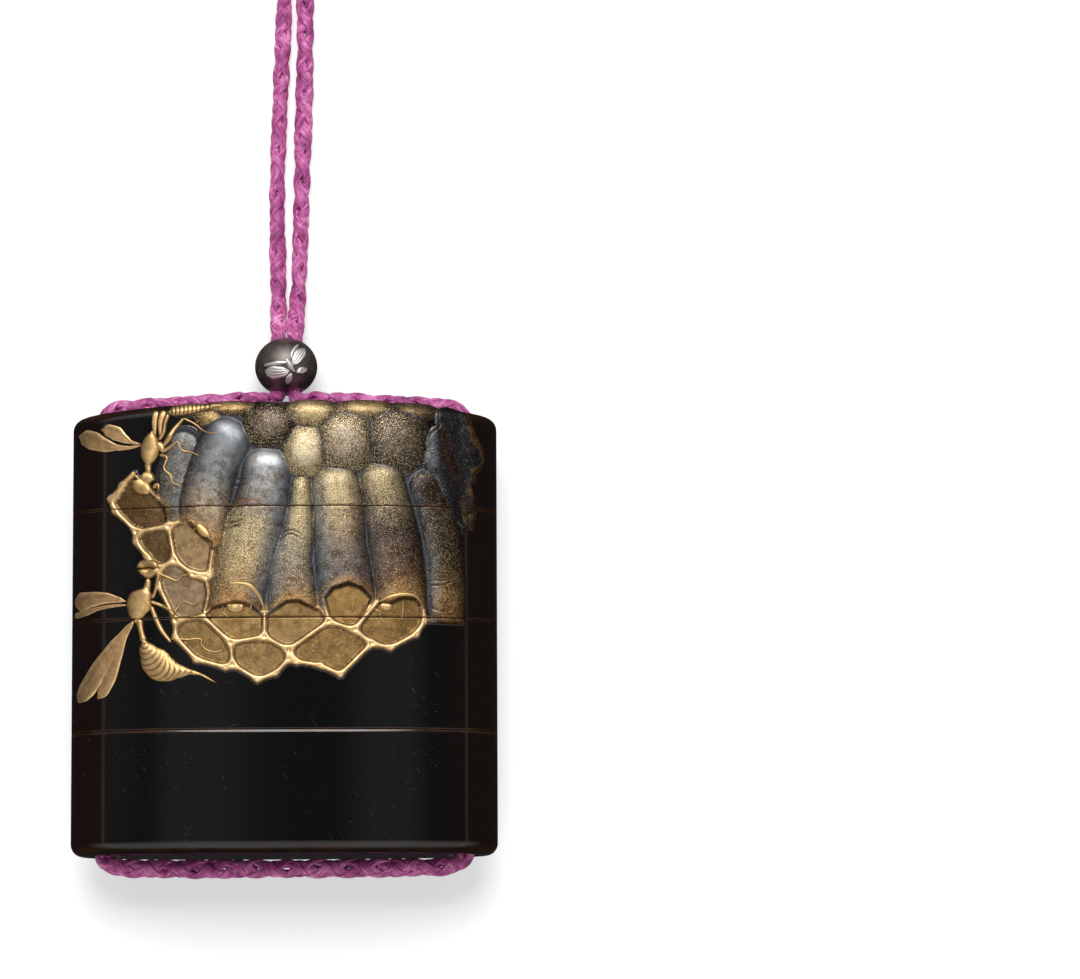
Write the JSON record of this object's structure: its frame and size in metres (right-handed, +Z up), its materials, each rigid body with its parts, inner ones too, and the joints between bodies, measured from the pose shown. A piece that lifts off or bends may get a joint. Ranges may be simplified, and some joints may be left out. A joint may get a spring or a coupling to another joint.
{
  "type": "inro case",
  "caption": "Small oval lacquer case of stacked boxes under a lid, with a raised nest-and-wasps relief, held by a silk cord with a sliding metal bead.",
  "frame": {"origin": "under the middle of the lying case, on the surface that it lies on", "axes": "+X to the right of the case's front, +Y towards its lid, +Z up through its front face"},
  "size_m": [0.0627, 0.1657, 0.0226],
  "materials": {
    "lacquer": "polished black lacquer over wood with raised gold, silver and brown powder relief",
    "bead_metal": "dark patinated copper alloy with a rubbed silver relief",
    "cord_silk": "braided silk cord, magenta"
  },
  "bodies": {
    "root": {"lid": "lacquer", "upper_case": "lacquer", "middle_case": "lacquer", "lower_case": "lacquer", "ojime": "bead_metal", "knot": "cord_silk", "cord_held": "cord_silk", "cord_left": "cord_silk", "cord_right": "cord_silk"}
  },
  "joints": []
}
